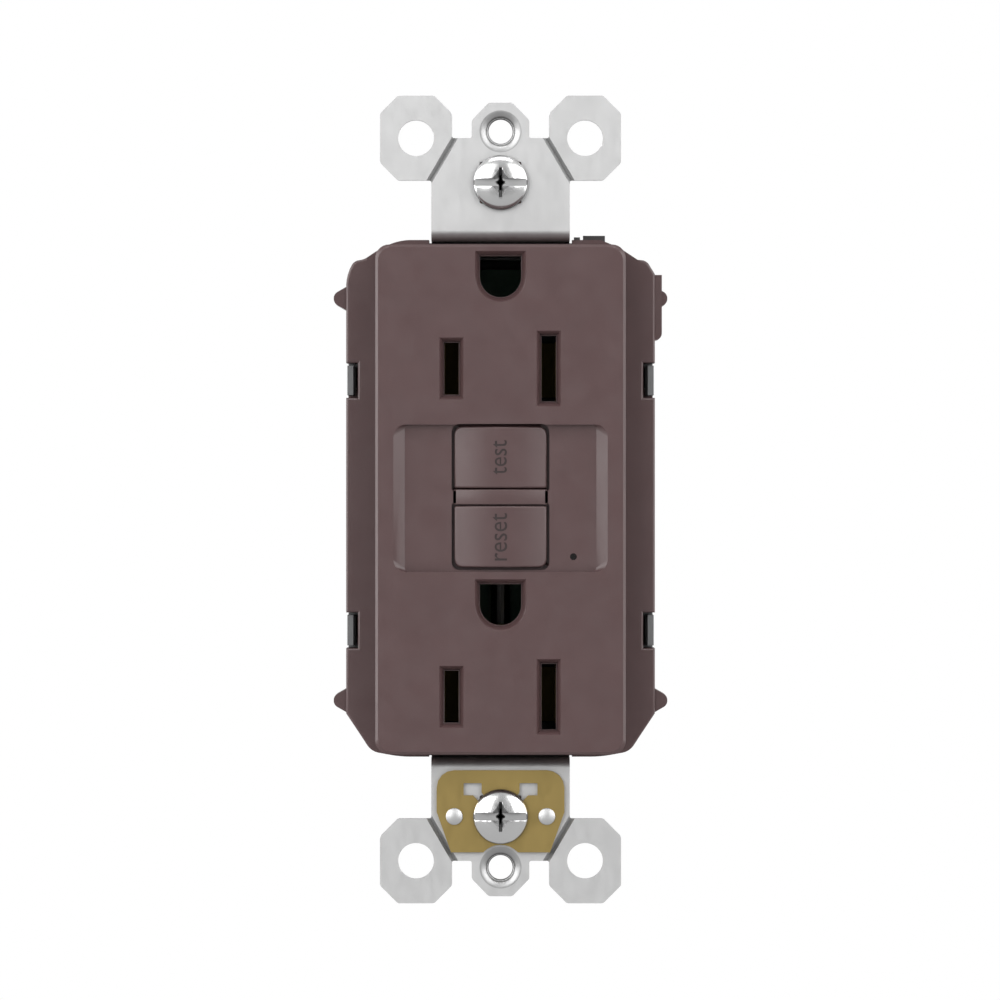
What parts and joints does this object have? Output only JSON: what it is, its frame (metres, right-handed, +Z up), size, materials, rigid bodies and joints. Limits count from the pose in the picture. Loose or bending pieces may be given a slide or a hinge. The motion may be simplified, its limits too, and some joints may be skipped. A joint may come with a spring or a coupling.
{
  "type": "gfci outlet",
  "caption": "Duplex ground-fault outlet for a decorator wall plate, with test and reset buttons, a steel mounting strap and side wire terminals.",
  "frame": {"origin": "on the back plane of the strap's ears, midway between the two mounting screws", "axes": "+X to the right seen from the front, +Y into the wall box, +Z up; the face looks along -Y"},
  "size_m": [0.044, 0.0326, 0.1062],
  "materials": {
    "cover_brown": "satin moulded thermoplastic, dark brown",
    "housing_grey": "satin moulded thermoplastic, dark grey",
    "zinc": "zinc-plated steel, satin",
    "screw_steel": "zinc-plated screw, bright",
    "brass": "rolled brass",
    "nickel": "nickel-plated",
    "green_steel": "green-dyed plating",
    "spring_steel": "spring steel",
    "copper": "enamelled copper wire",
    "board_green": "glass-epoxy board with green mask",
    "black_plastic": "moulded phenolic",
    "cream_plastic": "moulded nylon",
    "blue_coat": "epoxy dip coat",
    "clear_plastic": "clear acrylic",
    "fibre": "vulcanised fibre"
  },
  "bodies": {
    "housing": {"front_cover": "cover_brown", "button_bar": "cover_brown", "rear_housing": "housing_grey", "mounting_strap": "zinc", "ground_clip": "brass", "screw_retainer_upper": "fibre", "screw_retainer_lower": "fibre", "separator": "black_plastic", "contact_strip_hot": "brass", "contact_strip_neutral": "brass", "line_terminal_hot": "brass", "line_terminal_neutral": "brass", "ground_contact_upper": "brass", "ground_contact_lower": "brass", "coil_bobbin": "cream_plastic", "coil_winding": "copper", "sense_transformer": "copper", "neutral_transformer": "copper", "circuit_board": "board_green", "thyristor": "black_plastic", "capacitor": "cream_plastic", "varistor": "blue_coat", "led": "clear_plastic", "light_pipe": "clear_plastic", "reset_spring": "spring_steel", "plunger_spring": "spring_steel"},
    "test_button": {"test_button": "cover_brown"},
    "test_blade": {"test_blade": "brass"},
    "reset_button": {"reset_button": "cover_brown", "reset_pin": "spring_steel"},
    "latch_block": {"latch_block": "black_plastic"},
    "latch_plate": {"latch_plate": "spring_steel"},
    "contact_arm_hot": {"contact_arm_hot": "brass"},
    "contact_arm_neutral": {"contact_arm_neutral": "brass"},
    "solenoid_plunger": {"solenoid_plunger": "spring_steel"},
    "mounting_screw_upper": {"mounting_screw_upper": "screw_steel"},
    "mounting_screw_lower": {"mounting_screw_lower": "screw_steel"},
    "clamp_line_hot": {"clamp_line_hot": "nickel"},
    "clamp_line_neutral": {"clamp_line_neutral": "nickel"},
    "clamp_load_hot": {"clamp_load_hot": "nickel"},
    "clamp_load_neutral": {"clamp_load_neutral": "nickel"},
    "clamp_ground": {"clamp_ground": "nickel"},
    "screw_line_hot": {"terminal_screw_line_hot": "brass"},
    "screw_line_neutral": {"terminal_screw_line_neutral": "nickel"},
    "screw_load_hot": {"terminal_screw_load_hot": "brass"},
    "screw_load_neutral": {"terminal_screw_load_neutral": "nickel"},
    "screw_ground": {"terminal_screw_ground": "green_steel"}
  },
  "joints": [
    {"name": "test_press", "type": "slide", "parent": "housing", "child": "test_button", "axis": [0, 1, 0], "range_m": [0, 0.0012], "stiffness_N_per_m": 900},
    {"name": "test_blade_bend", "type": "hinge", "parent": "housing", "child": "test_blade", "pos_m": [0, 0.0069, 0.0106], "axis": [1, 0, 0], "range_deg": [0, 14]},
    {"name": "reset_press", "type": "slide", "parent": "housing", "child": "reset_button", "axis": [0, 1, 0], "range_m": [0, 0.0025], "stiffness_N_per_m": 1200, "deforming": ["reset_spring"]},
    {"name": "latch_lift", "type": "slide", "parent": "housing", "child": "latch_block", "axis": [0, -1, 0], "range_m": [0, 0.0015], "stiffness_N_per_m": 400},
    {"name": "arm_hot_bend", "type": "hinge", "parent": "housing", "child": "contact_arm_hot", "pos_m": [-0.0056, 0.0101, 0.009], "axis": [-1, 0, 0], "range_deg": [0, 6.5]},
    {"name": "arm_neutral_bend", "type": "hinge", "parent": "housing", "child": "contact_arm_neutral", "pos_m": [0.0056, 0.0101, 0.009], "axis": [-1, 0, 0], "range_deg": [0, 6.5]},
    {"name": "plunger_stroke", "type": "slide", "parent": "housing", "child": "solenoid_plunger", "axis": [0, 0, 1], "range_m": [0, 0.0014], "stiffness_N_per_m": 300, "deforming": ["plunger_spring"]},
    {"name": "latch_shift", "type": "slide", "parent": "latch_block", "child": "latch_plate", "axis": [0, 0, 1], "range_m": [0, 0.0014], "stiffness_N_per_m": 200},
    {"name": "mounting_screw_upper_turn", "type": "hinge", "parent": "housing", "child": "mounting_screw_upper", "pos_m": [0, -0.0015, 0.04167], "axis": [0, 1, 0], "continuous": true},
    {"name": "mounting_screw_lower_turn", "type": "hinge", "parent": "housing", "child": "mounting_screw_lower", "pos_m": [0, -0.0022, -0.04167], "axis": [0, 1, 0], "continuous": true},
    {"name": "clamp_line_hot_slide", "type": "slide", "parent": "housing", "child": "clamp_line_hot", "axis": [1, 0, 0], "range_m": [0, 0.0022]},
    {"name": "clamp_line_neutral_slide", "type": "slide", "parent": "housing", "child": "clamp_line_neutral", "axis": [-1, 0, 0], "range_m": [0, 0.0022]},
    {"name": "clamp_load_hot_slide", "type": "slide", "parent": "housing", "child": "clamp_load_hot", "axis": [1, 0, 0], "range_m": [0, 0.0022]},
    {"name": "clamp_load_neutral_slide", "type": "slide", "parent": "housing", "child": "clamp_load_neutral", "axis": [-1, 0, 0], "range_m": [0, 0.0022]},
    {"name": "clamp_ground_slide", "type": "slide", "parent": "housing", "child": "clamp_ground", "axis": [-1, 0, 0], "range_m": [0, 0.0022]},
    {"name": "screw_line_hot_turn", "type": "hinge", "parent": "clamp_line_hot", "child": "screw_line_hot", "pos_m": [-0.017, 0.0149, 0.0082], "axis": [1, 0, 0], "range_deg": [0, 998]},
    {"name": "screw_line_neutral_turn", "type": "hinge", "parent": "clamp_line_neutral", "child": "screw_line_neutral", "pos_m": [0.017, 0.0149, 0.0082], "axis": [-1, 0, 0], "range_deg": [0, 998]},
    {"name": "screw_load_hot_turn", "type": "hinge", "parent": "clamp_load_hot", "child": "screw_load_hot", "pos_m": [-0.017, 0.0149, -0.0082], "axis": [1, 0, 0], "range_deg": [0, 998]},
    {"name": "screw_load_neutral_turn", "type": "hinge", "parent": "clamp_load_neutral", "child": "screw_load_neutral", "pos_m": [0.017, 0.0149, -0.0082], "axis": [-1, 0, 0], "range_deg": [0, 998]},
    {"name": "screw_ground_turn", "type": "hinge", "parent": "clamp_ground", "child": "screw_ground", "pos_m": [0.017, 0.0149, 0.0253], "axis": [-1, 0, 0], "range_deg": [0, 998]}
  ],
  "couplings": [
    {"joint": "test_blade_bend", "follows": "test_press", "rad_per_m": 196},
    {"joint": "arm_hot_bend", "follows": "latch_lift", "rad_per_m": 71.9},
    {"joint": "arm_neutral_bend", "follows": "latch_lift", "rad_per_m": 71.9},
    {"joint": "latch_shift", "follows": "plunger_stroke", "ratio": 1},
    {"joint": "screw_line_hot_turn", "follows": "clamp_line_hot_slide", "rad_per_m": 7913.3},
    {"joint": "screw_line_neutral_turn", "follows": "clamp_line_neutral_slide", "rad_per_m": 7913.3},
    {"joint": "screw_load_hot_turn", "follows": "clamp_load_hot_slide", "rad_per_m": 7913.3},
    {"joint": "screw_load_neutral_turn", "follows": "clamp_load_neutral_slide", "rad_per_m": 7913.3},
    {"joint": "screw_ground_turn", "follows": "clamp_ground_slide", "rad_per_m": 7913.3}
  ]
}
